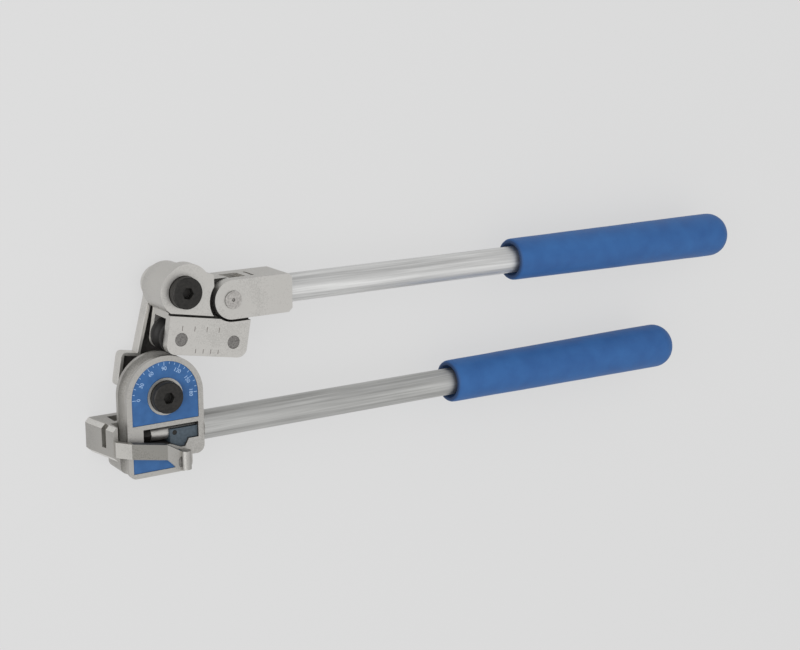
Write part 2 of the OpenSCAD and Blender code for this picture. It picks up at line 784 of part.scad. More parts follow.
// A lock nut behind the link
module lock_nut() {
    difference() {
        translate([0, 0, nut_back]) hexagon(nut_w, nut_t);
        post(0, 0, nut_back - past, link_back + past, thread_r + seat_clear);
    }
}

// The screw at the middle of the dial
module die_screw() {
    color(black_oxide) pivot_screw(die_head_z);
}

// The lock nut of the die's screw
module die_screw_nut() {
    color(black_oxide) lock_nut();
}

// The screw at the upper pivot
module upper_screw() {
    color(black_oxide) on_link() translate([0, link_len, 0]) pivot_screw(upper_head_z);
}

// The lock nut of the upper screw
module upper_screw_nut() {
    color(black_oxide) on_link() translate([0, link_len, 0]) lock_nut();
}

// What the swinging clevis must clear, seen from the side
module clevis_swing(from) {
    reach = clevis_len + clevis_half;
    translate([clevis_u, clevis_v]) for (turn = [handle_turn, swing_end]) rotate([0, 0, turn])
        rect(from, -clevis_half - stop_clear, reach, clevis_half + 2 * side_clear);
}

// What the clevis and the round ends of its prongs must clear
module prong_swing() {
    clevis_swing(0);
    translate([clevis_u, clevis_v]) circle(prong_cut_r);
    intersection() {
        translate([clevis_u, clevis_v]) circle(clevis_half + prong_gap);
        rect(0, bridge_v1, clevis_u, link_len + boss_r);
    }
}

// Outline of the roll support from the side, before the clevis is cut free
module support_outline() {
    boss_to_tongue();
    rect(plate_u0, bridge_v0, clevis_u, link_len - boss_r / 2);
    round_rect(plate_u0, plate_v0, plate_u1, bridge_v1, plate_corner);
    rect(plate_u0, roller_v, plate_u1, bridge_v1);
}

// The casting that carries the rollers: boss, web, tongue, bridge and two side plates
module roll_support() {
    color(steel) on_link() difference() {
        union() {
            slab(support_back, boss_front) support_outline();
            slab(tongue_front, boss_front) translate([boss_swell, link_len + boss_swell]) circle(boss_r);
        }
        slab(support_back - past, tongue_back) prong_swing();
        slab(tongue_front, boss_front + past) prong_swing();
        slab(tongue_back - past, tongue_front + past) clevis_swing(crotch - side_clear);
        slab(support_front, boss_front + past) {
            rect(-boss_r - past, plate_v0 - past, plate_u1 + past, bridge_v1);
            rect(clevis_u, plate_v0 - past, plate_u1 + past, bridge_v1 + past);
        }
        slab(channel_back, channel_front) rect(plate_u0 - past, plate_v0 - past, plate_u1 + past, bridge_v0);
        slab(support_front - 2 * line_w, support_front + past)
            rect(-boss_r - past, bridge_v1 - line_w, clevis_u - tongue_r / 2, bridge_v1 + past);
        slab(support_front - 2 * line_w, support_front + past)
            translate([clevis_u, clevis_v]) rotate([0, 0, handle_turn])
                rect(0, -clevis_half - line_w, clevis_len, 0);
        post(0, link_len, upper_head_z - washer_t, boss_front + past, head_bore_r);
        post(0, link_len, support_back - past, boss_front, bush_r + seat_clear);
        post(clevis_u, clevis_v, support_back, boss_front, tongue_bush_r + seat_clear);
        for (u = [near_u, far_u])
            post(u, roller_v, support_back - past, support_front + past, roller_pin_d / 2 + seat_clear);
    }
}

// The bronze bush at the upper pivot
module upper_bush() {
    color(bronze) on_link() translate([0, link_len, 0])
        flanged_bush(support_back, upper_head_z - seat_clear, bush_bore_r, bush_r, head_r);
}

// The washer between the roll support and the link
module upper_washer() {
    color(bronze) on_link() translate([0, link_len, 0]) difference() {
        post(0, 0, link_front + seat_clear, support_back - seat_clear, link_eye_r - past);
        post(0, 0, link_front - past, support_back + past, bush_bore_r);
    }
}

// The bronze bush in the tongue
module tongue_bush() {
    color(bronze) on_link() difference() {
        post(clevis_u, clevis_v, tongue_back, tongue_front, tongue_bush_r);
        post(clevis_u, clevis_v, support_back, boss_front, clevis_pin_d / 2 + run_clear);
    }
}

// The two dark pins that the rollers turn on
module roller_pins() {
    color(pin_steel) on_link() for (u = [near_u, far_u])
        post(u, roller_v, support_back + seat_clear, support_front - seat_clear, roller_pin_d / 2);
}

// A grooved roller that presses the tube against the die
module roller(u) {
    on_link() difference() {
        post(u, roller_v, channel_back + side_clear, channel_front - side_clear, roller_flange_r);
        translate([u, roller_v, mid_z]) rotate_extrude()
            translate([roller_core_r + tube_r, 0]) circle(groove_r);
        post(u, roller_v, channel_back, channel_front, roller_pin_d / 2 + run_clear);
    }
}

// The roller next to the link
module near_roller() {
    color(pin_steel) roller(near_u);
}

// The roller under the clevis
module far_roller() {
    color(pin_steel) roller(far_u);
}

// The forked end of the lever handle
module clevis() {
    color(steel) translate([pin_at[0], pin_at[1], 0]) difference() {
        slab(mid_z - clevis_w / 2, mid_z + clevis_w / 2) {
            circle(clevis_half);
            polygon([[0, -clevis_half], [clevis_len - clevis_bevel, -clevis_half],
                     [clevis_len, clevis_bevel - clevis_half], [clevis_len, clevis_half - clevis_bevel],
                     [clevis_len - clevis_bevel, clevis_half], [0, clevis_half]]);
        }
        slab(mid_z - slot_half, mid_z + slot_half) rect(-clevis_half - past, -clevis_h, crotch, clevis_h);
        bar(clevis_len - rod_seat, clevis_len + past, 0, rod_r + seat_clear);
        post(0, 0, mid_z - clevis_w, mid_z + clevis_w, clevis_pin_d / 2 + seat_clear);
        translate([clevis_cut_x, clevis_half - clevis_cut_w, mid_z - slot_half])
            cube([clevis_cut_w, clevis_cut_w + past, 2 * slot_half]);
        translate([clevis_len - rod_seat / 2, -clevis_half - past, mid_z]) rotate([-90, 0, 0])
            cylinder(d = set_screw_d, h = clevis_half);
    }
}

// The pin through the clevis, with a dimpled head
module clevis_pin() {
    front = mid_z + clevis_w / 2;
    dimple = clevis_pin_d / 4;
    color(pin_steel) translate([pin_at[0], pin_at[1], 0]) difference() {
        union() {
            post(0, 0, mid_z - clevis_w / 2, front + seat_clear, clevis_pin_d / 2);
            post(0, 0, front + seat_clear, front + clevis_head_h, clevis_head_d / 2);
        }
        translate([0, 0, front + clevis_head_h]) sphere(r = dimple / 2);
    }
}

// The screw under the clevis that holds the rod
module clevis_set_screw() {
    depth = clevis_half - rod_r - 2 * seat_clear;
    color(black_oxide) translate([pin_at[0] + clevis_len - rod_seat / 2, pin_at[1] - clevis_half, mid_z])
        rotate([-90, 0, 0]) difference() {
            cylinder(d = set_screw_d - 2 * seat_clear, h = depth);
            translate([0, 0, -past]) hexagon(set_screw_d / 2, depth / 2 + past);
        }
}

// The lever handle's rod
module lever_handle_rod() {
    grip_end = high_grip_x + grip_len;
    color(rod_steel) difference() {
        bar(lever_rod_x + seat_clear, grip_end - grip_end_t, pin_at[1], rod_r);
        bar(lever_rod_x + rod_solid, grip_end, pin_at[1], rod_bore_r);
    }
}

// The blue grip of the lever handle
module lever_grip() {
    color(blue) grip(high_grip_x, pin_at[1]);
}

bend_die();
dial_plate();
foot_plate();
die_bush();
die_washer();
fixed_handle_rod();
handle_anchor();
anchor_pin();
stud_sleeve();
stud_nut();
fixed_grip();
latch_pin();
latch_pin_screw();
tube_latch();
link_arm();
die_screw();
die_screw_nut();
upper_screw();
upper_screw_nut();
roll_support();
upper_bush();
upper_washer();
tongue_bush();
roller_pins();
near_roller();
far_roller();
clevis();
clevis_pin();
clevis_set_screw();
lever_handle_rod();
lever_grip();
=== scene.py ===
# %% [markdown]
# # A hand tube bender
# The tool lies on its back on a pale bench: a grooved bend die with a blue dial, a latch that holds
# the tube, a link that swings a pair of rollers round the die, and two long handles with blue grips.
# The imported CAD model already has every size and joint. This lesson gives it its finishes, its rounded
# edges, its dial marks, a camera at the photograph's angle and soft studio light.

# %% Load the frame
import json
import math

import bmesh
import bpy
from mathutils import Matrix, Vector, noise

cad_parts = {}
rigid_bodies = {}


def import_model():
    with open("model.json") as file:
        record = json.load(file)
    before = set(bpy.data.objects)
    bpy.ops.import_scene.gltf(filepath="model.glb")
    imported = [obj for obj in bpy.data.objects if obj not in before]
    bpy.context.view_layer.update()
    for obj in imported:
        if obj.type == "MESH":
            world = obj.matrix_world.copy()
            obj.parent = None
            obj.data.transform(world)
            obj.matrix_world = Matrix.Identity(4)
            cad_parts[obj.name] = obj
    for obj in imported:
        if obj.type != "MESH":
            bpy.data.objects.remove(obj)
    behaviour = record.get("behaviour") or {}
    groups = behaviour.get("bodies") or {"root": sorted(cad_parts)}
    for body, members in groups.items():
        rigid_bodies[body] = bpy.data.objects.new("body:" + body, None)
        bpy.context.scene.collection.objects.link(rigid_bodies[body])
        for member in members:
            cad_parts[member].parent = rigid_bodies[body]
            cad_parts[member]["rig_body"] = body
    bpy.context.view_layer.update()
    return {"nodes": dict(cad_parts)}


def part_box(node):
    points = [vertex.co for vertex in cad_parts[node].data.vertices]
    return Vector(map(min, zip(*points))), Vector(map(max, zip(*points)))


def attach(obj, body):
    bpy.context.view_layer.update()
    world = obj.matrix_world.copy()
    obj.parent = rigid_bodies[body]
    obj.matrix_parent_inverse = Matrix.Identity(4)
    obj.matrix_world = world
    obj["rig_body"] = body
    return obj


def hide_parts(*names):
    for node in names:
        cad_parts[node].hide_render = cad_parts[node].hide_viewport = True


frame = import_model()
body_of_node = {n: o["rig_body"] for n, o in frame["nodes"].items()}

# %% [markdown]
# ## Small tools
# Sizes on a tool like this are read in millimetres, and Blender works in metres, so one value turns one
# into the other. A finish colour is easiest to judge as an sRGB hex value, but shaders add light in
# linear values, so one function converts it. One function adds a node with its settings and links, two
# start a material and a mesh, and three make what every finish here has: two tones, a changing
# roughness and a grain.

# %% Units, colour and one way to add a node
MM = 0.001


def linear(hex_colour):
    parts = [int(hex_colour[i:i + 2], 16) / 255 for i in (1, 3, 5)]
    return tuple(c / 12.92 if c <= 0.04045 else ((c + 0.055) / 1.055) ** 2.4 for c in parts) + (1.0,)


def per_metre(size_mm):
    return 1 / (size_mm * MM)


def add(tree, kind, inputs=None, **settings):
    node = tree.nodes.new(kind)
    for name, value in settings.items():
        setattr(node, name, value)
    for name, value in (inputs or {}).items():
        if isinstance(value, bpy.types.NodeSocket):
            tree.links.new(value, node.inputs[name])
        else:
            node.inputs[name].default_value = value
    return node


# %% A new material and a new mesh
def new_material(name):
    material = bpy.data.materials.new(name)
    material.use_nodes = True
    tree = material.node_tree
    tree.nodes.clear()
    shader = add(tree, "ShaderNodeBsdfPrincipled")
    add(tree, "ShaderNodeOutputMaterial", {"Surface": shader.outputs["BSDF"]})
    return material, tree, shader


def put_mesh(name, verts, faces):
    mesh = bpy.data.meshes.new(name)
    mesh.from_pydata(verts, [], faces)
    piece = bpy.data.objects.new(name, mesh)
    bpy.context.scene.collection.objects.link(piece)
    return piece


# %% Tones, roughness and grain from one pattern
def two_tones(tree, shader, pattern, low, dark, high, pale):
    colour = add(tree, "ShaderNodeValToRGB", {"Fac": pattern})
    colour.color_ramp.elements[0].position = low
    colour.color_ramp.elements[0].color = linear(dark)
    colour.color_ramp.elements[1].position = high
    colour.color_ramp.elements[1].color = linear(pale)
    tree.links.new(colour.outputs["Color"], shader.inputs["Base Color"])


def uneven_roughness(tree, shader, pattern, low, high):
    spread = add(tree, "ShaderNodeMapRange", {
        "Value": pattern, "From Min": 0.3, "From Max": 0.7, "To Min": low, "To Max": high})
    tree.links.new(spread.outputs["Result"], shader.inputs["Roughness"])


def grain(tree, shader, pattern, strength, depth_mm):
    bump = add(tree, "ShaderNodeBump", {"Height": pattern, "Strength": strength, "Distance": depth_mm * MM})
    tree.links.new(bump.outputs["Normal"], shader.inputs["Normal"])


print("one millimetre is", MM, "m")

# %% [markdown]
# ## Camera
# The photograph looks at the dial from the left and a little from above the handles. Lines fitted to the
# rods, the die's rim and the grips gave the lens and the place of the eye. The tool lies on its back
# here, so the camera stands over the bench, and its "up" is the bench's Y.

# %% Camera at the photograph's angle
camera_data = bpy.data.cameras.new("photo_camera")
camera_data.sensor_width = 36
camera_data.lens = 69.1
camera_data.clip_end = 20
camera = bpy.data.objects.new("photo_camera", camera_data)
bpy.context.scene.collection.objects.link(camera)
right = Vector((0.83392, 0, 0.55188))
up = Vector((0.12340, 0.97468, -0.18646))
back = Vector((-0.53791, 0.22360, 0.81281))
eye = Vector((-368.62, 244.95, 845.26)) * MM
turn = Matrix((right, up, back)).transposed().to_4x4()
camera.matrix_world = Matrix.Translation(eye) @ turn
bpy.context.scene.camera = camera
print("camera at", [round(v, 3) for v in camera.location])

# %% [markdown]
# ## Floor and light
# The photograph has an even grey ground and hardly any shadow, so the light is broad: a pale sky that is
# brightest overhead and to the left, one large soft lamp from the left and a weaker one from the right.
# Satin steel shows what surrounds it, so the sky's slow change from bright to grey shades the head.
# To the camera and in reflections the floor is partly its own even grey, which keeps its shadow faint.

# %% Floor
half = 4.0
floor_z = -0.2 * MM
even_share = 0.8
floor = put_mesh("bench", [(-half, -half, floor_z), (half, -half, floor_z), (half, half, floor_z),
                           (-half, half, floor_z)], [(0, 1, 2, 3)])
bench_paint, tree, shader = new_material("matt_bench_paint")
shader.inputs["Base Color"].default_value = linear("#DDDDDD")
shader.inputs["Roughness"].default_value = 0.9
shader.inputs["Specular IOR Level"].default_value = 0.1
ray = add(tree, "ShaderNodeLightPath").outputs
seen = add(tree, "ShaderNodeMath", {0: ray["Is Camera Ray"], 1: ray["Is Glossy Ray"]}).outputs[0]
seen = add(tree, "ShaderNodeMath", {0: seen, 1: ray["Is Transmission Ray"]}, use_clamp=True).outputs[0]
share = add(tree, "ShaderNodeMath", {0: seen, 1: even_share}, operation="MULTIPLY").outputs[0]
even = add(tree, "ShaderNodeEmission", {"Color": linear("#DBDBDB")})
soft = add(tree, "ShaderNodeMixShader", {0: share, 1: shader.outputs["BSDF"], 2: even.outputs["Emission"]})
tree.links.new(soft.outputs["Shader"], tree.nodes["Material Output"].inputs["Surface"])
floor.data.materials.append(bench_paint)
print("floor", floor.name, 2 * half, "m wide")

# %% Sky
bpy.context.scene.view_settings.view_transform = "Standard"
world = bpy.data.worlds.new("studio_sky")
bpy.context.scene.world = world
world.use_nodes = True
tree = world.node_tree
tree.nodes.clear()
direction = add(tree, "ShaderNodeTexCoord")
towards = add(tree, "ShaderNodeVectorMath", {0: direction.outputs["Generated"], 1: (-0.75, 0.1, 0.65)},
              operation="DOT_PRODUCT")
sky = add(tree, "ShaderNodeValToRGB", {"Fac": towards.outputs["Value"]})
sky.color_ramp.elements[0].position = 0.0
sky.color_ramp.elements[0].color = linear("#D2D2D2")
sky.color_ramp.elements[1].position = 0.85
sky.color_ramp.elements[1].color = linear("#FFFFFF")
glow = add(tree, "ShaderNodeBackground", {"Color": sky.outputs["Color"], "Strength": 0.95})
add(tree, "ShaderNodeOutputWorld", {"Surface": glow.outputs["Background"]})
print("sky", world.name)

# %% Lamps
def soft_lamp(name, place, aim, size, watts):
    lamp_data = bpy.data.lights.new(name, "AREA")
    lamp_data.shape = "SQUARE"
    lamp_data.size = size
    lamp_data.energy = watts
    lamp = bpy.data.objects.new(name, lamp_data)
    bpy.context.scene.collection.objects.link(lamp)
    lamp.location = place
    lamp.rotation_euler = (Vector(aim) - Vector(place)).to_track_quat("-Z", "Y").to_euler()


aim = (0.15, 0, 0.03)
soft_lamp("soft_lamp_left", (-1.2, 0.3, 0.9), aim, 1.3, 11)
soft_lamp("soft_lamp_right", (0.9, -0.6, 1.5), aim, 1.6, 2)
print("two soft lamps")

# %% [markdown]
# ## Finishes
# The head is cast steel that was blasted and tumbled, which leaves a pale satin skin with a fine grit and
# slow changes of tone. The rods are drawn steel, with long streaks along their length. The screws are
# black oxide, the pins are ground and darkened, the anchor block is a dark blue grey, and the bushes are
# sintered bronze. Some tones are painted shade: the die's steel is a darker copy of the head's, the rollers
# are almost black, and dark finishes fill the hollows. Grit and streaks are drawn a little coarser than
# life where the render could not show them.

# %% Satin cast steel for the head
tone_mm, grit_mm = 22, 0.7


def cast_steel(name, pale, dark, rough, metallic=1.0):
    material, tree, shader = new_material(name)
    place = add(tree, "ShaderNodeTexCoord").outputs["Object"]
    tone = add(tree, "ShaderNodeTexNoise", {"Vector": place, "Scale": per_metre(tone_mm), "Detail": 3.0})
    grit = add(tree, "ShaderNodeTexNoise", {"Vector": place, "Scale": per_metre(grit_mm), "Detail": 2.0})
    mixed = add(tree, "ShaderNodeMath", {0: tone.outputs["Fac"], 1: grit.outputs["Fac"]})
    two_tones(tree, shader, mixed.outputs["Value"], 0.75, dark, 1.2, pale)
    uneven_roughness(tree, shader, tone.outputs["Fac"], rough - 0.06, rough + 0.08)
    grain(tree, shader, grit.outputs["Fac"], 0.12, 0.05)
    shader.inputs["Metallic"].default_value = metallic
    return material


# A pale satin with a fine grit, for the roll support, the clevis and the stud's sleeve
satin_steel = cast_steel("blasted_cast_steel", "#CAC8C4", "#BBB9B5", 0.45)
# The same skin, a little brighter, for the link
link_steel = cast_steel("bright_cast_steel", "#D6D4D0", "#C8C6C2", 0.44)
# A darker copy of the same skin, painted shade that dims the die's front under this sky
die_steel = cast_steel("shaded_cast_steel", "#B8B6B2", "#A9A7A3", 0.47)
# A duller satin for the latch, which the hand and the tube rub
latch_steel = cast_steel("rubbed_cast_steel", "#B4B2AE", "#A3A19D", 0.48)
# A bright line, painted highlight on the bevels of the latch's block
bevel_highlight_steel = cast_steel("painted_bevel_highlight", "#E0DEDA", "#D0CECA", 0.36)
# Darker still and a little warm, for the strap's face, and painted shade in the groove of the latch's block
strap_and_groove_shade_steel = cast_steel("worn_strap_steel_and_groove_shade", "#9A9893", "#86847F", 0.46)
# Dull grey without clear reflections, for the groove that the tube has scuffed
groove_steel = cast_steel("scuffed_groove_steel", "#A4A29E", "#92908C", 0.72, 0.55)
print("finishes", satin_steel.name, die_steel.name, latch_steel.name, groove_steel.name)

# %% Drawn steel for the rods
streak_mm, streak_stretch = 1.6, 0.02


def drawn_steel(name, pale, dark):
    material, tree, shader = new_material(name)
    place = add(tree, "ShaderNodeTexCoord").outputs["Object"]
    along = add(tree, "ShaderNodeMapping", {"Vector": place, "Scale": (streak_stretch, 1.0, 1.0)})
    streak = add(tree, "ShaderNodeTexNoise", {
        "Vector": along.outputs["Vector"], "Scale": per_metre(streak_mm), "Detail": 4.0, "Roughness": 0.6})
    two_tones(tree, shader, streak.outputs["Fac"], 0.3, dark, 0.72, pale)
    uneven_roughness(tree, shader, streak.outputs["Fac"], 0.4, 0.52)
    grain(tree, shader, streak.outputs["Fac"], 0.25, 0.08)
    shader.inputs["Metallic"].default_value = 1.0
    return material


# Bright with long fine streaks, for the lever's rod
rod_steel = drawn_steel("drawn_steel_rod", "#F0F0EF", "#C6C6C5")
# The same streaks in a greyer steel, for the fixed rod
grey_rod_steel = drawn_steel("greyer_drawn_steel_rod", "#D2D2D0", "#A6A6A4")
print("finishes", rod_steel.name, grey_rod_steel.name)

# %% Darkened and coloured metals
def dark_metal(name, pale, dark, metallic, rough, mottle_mm):
    material, tree, shader = new_material(name)
    place = add(tree, "ShaderNodeTexCoord").outputs["Object"]
    mottle = add(tree, "ShaderNodeTexNoise", {
        "Vector": place, "Scale": per_metre(mottle_mm), "Detail": 4.0}).outputs["Fac"]
    two_tones(tree, shader, mottle, 0.32, dark, 0.7, pale)
    uneven_roughness(tree, shader, mottle, rough - 0.05, rough + 0.1)
    grain(tree, shader, mottle, 0.2, 0.06)
    shader.inputs["Metallic"].default_value = metallic
    return material


# Warm near-black with a dull gloss, for the screws, the nuts and the small pin
black_oxide = dark_metal("black_oxide_steel", "#302E2C", "#1E1D1B", 0.5, 0.42, 1.4)
# Almost black, painted shade, so that the rollers sink into the shade of the support
roller_shade_steel = dark_metal("roller_painted_shade", "#201E1D", "#151413", 0.4, 0.5, 1.6)
# Rough dark brown-grey, painted shade for the link's hollow, the support's cuts and the window
hollow_shade = dark_metal("painted_hollow_shade", "#4A4846", "#343230", 0.5, 0.6, 1.8)
# A cool blue grey, soft and even, for the anchor block
slate_block = dark_metal("dark_blue_grey_steel", "#55616B", "#434E57", 0.4, 0.5, 1.8)
# Mid grey with a fine mottle, for the roller pins and the latch pin, and painted shade on the edge of the
# clevis pin's head
pin_and_head_edge_shade_steel = dark_metal("ground_pin_steel_and_head_edge_shade", "#918F8C", "#666462", 0.9, 0.38, 1.1)
# A paler pin that stays just darker than the clevis round it
pale_pin = dark_metal("turned_pin_steel", "#C6C3BF", "#9E9B98", 1.0, 0.36, 1.3)
# Warm and grainy, hardly seen between the joints
bronze = dark_metal("sintered_bronze", "#B08A58", "#8A6A40", 0.9, 0.45, 0.9)
# Dark grey, painted shade on the upper side of the strap
strap_top_shade = dark_metal("painted_strap_top_shade", "#5E6166", "#484B50", 0.6, 0.6, 1.6)
print("finishes", black_oxide.name, slate_block.name, pin_and_head_edge_shade_steel.name, bronze.name)

# %% [markdown]
# ## Blue parts
# The dial and the foot plate are thin anodised plates with a dull, even blue. The grips are dipped vinyl:
# a soft skin with a faint orange-peel texture, slow thick and thin patches, and a dull sheen.

# %% Blue plate and blue vinyl
def blue_skin(name, pale, dark, rough, patch_mm, peel_mm, peel_depth_mm):
    material, tree, shader = new_material(name)
    place = add(tree, "ShaderNodeTexCoord").outputs["Object"]
    patch = add(tree, "ShaderNodeTexNoise", {"Vector": place, "Scale": per_metre(patch_mm), "Detail": 4.0})
    peel = add(tree, "ShaderNodeTexNoise", {"Vector": place, "Scale": per_metre(peel_mm), "Detail": 2.0})
    two_tones(tree, shader, patch.outputs["Fac"], 0.3, dark, 0.7, pale)
    uneven_roughness(tree, shader, patch.outputs["Fac"], rough - 0.06, rough + 0.08)
    grain(tree, shader, peel.outputs["Fac"], 0.3, peel_depth_mm)
    shader.inputs["Specular IOR Level"].default_value = 0.28
    return material


# An even, dull blue with hardly any shine, for the dial and the foot plate
blue_plate = blue_skin("blue_anodised_plate", "#3A679D", "#305A8D", 0.5, 6, 0.8, 0.03)
# A softer blue with slow patches and a faint orange peel, for the grips
blue_vinyl = blue_skin("dipped_blue_vinyl", "#33649F", "#2A5892", 0.52, 14, 1.5, 0.12)
# Painted shade on the lip, mixed in by a mark that the grip's mesh has
tree = blue_vinyl.node_tree
shader = tree.nodes["Principled BSDF"]
skin = shader.inputs["Base Color"].links[0].from_socket
lip = add(tree, "ShaderNodeAttribute", attribute_name="lip").outputs["Fac"]
lip_shade = add(tree, "ShaderNodeMix", {"Factor": lip, "A": skin, "B": linear("#1B3357")}, data_type="RGBA")
tree.links.new(lip_shade.outputs["Result"], shader.inputs["Base Color"])
# Pale sky blue that reads as print on the dial
pale_ink = dark_metal("pale_blue_ink", "#B4CDEA", "#8FB0D8", 0.0, 0.6, 0.9)
# Brown-grey lines that read as shallow stamping
engraving = dark_metal("engraved_line", "#8E8883", "#736E6A", 0.6, 0.6, 0.9)
print("finishes", blue_plate.name, blue_vinyl.name)

# %% [markdown]
# ## Rounded edges
# Tumbling leaves every edge of a casting a little round, and those edges catch the light. The CAD solids
# have sharp edges and loose triangles, so each one is copied, its corners are joined, its flat triangles
# are melted into whole faces, and a Bevel modifier rounds the edges that are sharper than 30 degrees.
# The copy stands for the CAD node and rides on the same body.

# %% Copy a solid with rounded edges
finish_of = {}


def plain_mesh(piece):
    evaluated = piece.evaluated_get(bpy.context.evaluated_depsgraph_get())
    mesh = bpy.data.meshes.new_from_object(evaluated)
    piece.modifiers.clear()
    old = piece.data
    piece.data = mesh
    bpy.data.meshes.remove(old)


def rounded_copy(node, material, edge_mm):
    mesh = frame["nodes"][node].data.copy()
    work = bmesh.new()
    work.from_mesh(mesh)
    bmesh.ops.remove_doubles(work, verts=work.verts, dist=1e-6)
    bmesh.ops.dissolve_limit(work, angle_limit=math.radians(0.5), verts=work.verts, edges=work.edges)
    work.to_mesh(mesh)
    work.free()
    mesh.materials.clear()
    mesh.materials.append(material)
    piece = bpy.data.objects.new(node + "_finished", mesh)
    bpy.context.scene.collection.objects.link(piece)
    if edge_mm:
        bevel = piece.modifiers.new("rounded_edges", "BEVEL")
        bevel.width = edge_mm * MM
        bevel.segments = 2
        bevel.limit_method = "ANGLE"
        bevel.angle_limit = math.radians(30)
        bevel.use_clamp_overlap = True
        plain_mesh(piece)
    piece.data.shade_smooth()
    piece.data.set_sharp_from_angle(angle=math.radians(40))
    even = piece.modifiers.new("flat_faces_stay_flat", "WEIGHTED_NORMAL")
    even.keep_sharp = True
    plain_mesh(piece)
    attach(piece, body_of_node[node])
    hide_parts(node)
    finish_of[node] = piece


for node in ("roll_support", "clevis"):
    rounded_copy(node, satin_steel, 0.5)
rounded_copy("link_arm", link_steel, 0.5)
rounded_copy("bend_die", die_steel, 0.5)
rounded_copy("tube_latch", latch_steel, 0.5)
rounded_copy("stud_sleeve", satin_steel, 0.3)
rounded_copy("fixed_handle_rod", grey_rod_steel, 0.4)
rounded_copy("lever_handle_rod", rod_steel, 0.4)
for node in ("die_screw", "die_screw_nut", "upper_screw", "upper_screw_nut", "stud_nut", "anchor_pin",
             "latch_pin_screw", "clevis_set_screw"):
    rounded_copy(node, black_oxide, 0.25)
rounded_copy("handle_anchor", slate_block, 0.4)
rounded_copy("roller_pins", pin_and_head_edge_shade_steel, 0.35)
for node in ("near_roller", "far_roller"):
    rounded_copy(node, roller_shade_steel, 0.25)
rounded_copy("clevis_pin", pale_pin, 0.2)
rounded_copy("latch_pin", pin_and_head_edge_shade_steel, 0.2)
for node in ("die_bush", "die_washer", "upper_bush", "upper_washer", "tongue_bush"):
    rounded_copy(node, bronze, 0.0)
for node in ("dial_plate", "foot_plate"):
    rounded_copy(node, blue_plate, 0.1)
print("rounded copies", len(finish_of))

# %% [markdown]
# ## Faces that differ from their piece
# The link is cast with a hollow in its front, and its floor gets a dark finish as painted shade. So do the
# narrow cuts beside the clevis and under the boss, and the window under the dial. The tube has scuffed the
# die's groove dull. The bevels of the latch's block get a painted highlight, and the block's groove, the
# strap's upper side and the edge of the clevis pin's head get painted shade. A rule on each face's place
# or direction picks them.

# %% Rules that pick faces, in millimetres
bend_r, groove_reach, tube_z = 23.8, 4.95, 28.3


def in_groove(at, normal):
    across = abs(at.x) if at.y < 0 else math.hypot(at.x, at.y)
    return math.hypot(across - bend_r, at.z - tube_z) < groove_reach


def middle(node):
    low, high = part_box(node)
    return (low + high) / 2 / MM


hollow_depth = 3
hollow_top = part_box("link_arm")[1].z / MM - hollow_depth
strap_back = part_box("bend_die")[1].z / MM
tongue_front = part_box("tongue_bush")[1].z / MM
boss_proud = 1.2
plate_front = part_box("roll_support")[1].z / MM - boss_proud
pin = middle("clevis_pin")
knuckle_left = middle("latch_pin").x - 1
plate_turn = math.radians(10)
bridge_top, prong_low = 49.5, pin.y - 13.5
prong_in, prong_out = 12.5, 16.2
window_left, window_right = -15, 21.2
window_low, window_high, window_floor = -33, -18.4, 22
groove_right, groove_back, groove_front, groove_floor = -30.9, 18.4, 23.2, -31.5


def in_hollow(at, normal):
    return normal.z > 0.9 and at.z < hollow_top


def in_cut(at, normal):
    if not tongue_front - 0.5 < at.z < plate_front - 0.3:
        return False
    rise = at.x * math.sin(plate_turn) + at.y * math.cos(plate_turn)
    beside_prong = prong_in < math.hypot(at.x - pin.x, at.y - pin.y) < prong_out
    under_boss = abs(rise - bridge_top) < 1
    under_clevis = at.x > pin.x and abs(at.y - prong_low) < 0.7
    return normal.z > 0.9 or beside_prong or under_boss or under_clevis


def in_window(at, normal):
    across = window_left < at.x < window_right and window_low < at.y < window_high
    return across and window_floor < at.z < strap_back - 0.6


def on_strap(at, normal):
    return at.z > strap_back and at.x < knuckle_left


def in_latch_groove(at, normal):
    inside = at.x < groove_right and groove_back < at.z < groove_front
    on_floor = normal.x < -0.9 and at.x > groove_floor
    return inside and (on_floor or abs(normal.z) > 0.9)


def on_strap_face(at, normal):
    return normal.z > 0.995 and on_strap(at, normal)


def on_strap_top(at, normal):
    return normal.y > 0.8 and on_strap(at, normal)


def on_latch_bevel(at, normal):
    return normal.x < -0.5 and abs(normal.y) > 0.5


def on_head_edge(at, normal):
    return normal.z < 0.9


print("clevis pin at", [round(v, 1) for v in pin], "front plate at", round(plate_front, 1))

# %% Second finishes on the picked faces
def second_finish(node, material, picks):
    mesh = finish_of[node].data
    mesh.materials.append(material)
    picked = 0
    for face in mesh.polygons:
        if picks(face.center / MM, face.normal):
            face.material_index = len(mesh.materials) - 1
            picked += 1
    print(node, "gets", material.name, "on", picked, "faces")


# Painted shade in the link's hollow, the support's cuts and the die's window
second_finish("link_arm", hollow_shade, in_hollow)
second_finish("bend_die", groove_steel, in_groove)
second_finish("roll_support", hollow_shade, in_cut)
second_finish("bend_die", hollow_shade, in_window)
second_finish("tube_latch", strap_and_groove_shade_steel, on_strap_face)
# Painted shade in the groove of the latch's block
second_finish("tube_latch", strap_and_groove_shade_steel, in_latch_groove)
# Painted shade on the upper side of the strap
second_finish("tube_latch", strap_top_shade, on_strap_top)
# Painted highlight on the bevels of the latch's block
second_finish("tube_latch", bevel_highlight_steel, on_latch_bevel)
# Painted shade on the edge of the clevis pin's head
second_finish("clevis_pin", pin_and_head_edge_shade_steel, on_head_edge)

# %% [markdown]
# ## Dial marks
# The dial is a degree scale: a tick every ten degrees and a number every thirty, counted from the left as
# the link swings round. The ticks repeat, so Geometry Nodes place one small bar on a ring of points, and
# every third bar is longer. The numbers are Blender's own plain font, turned to meshes.

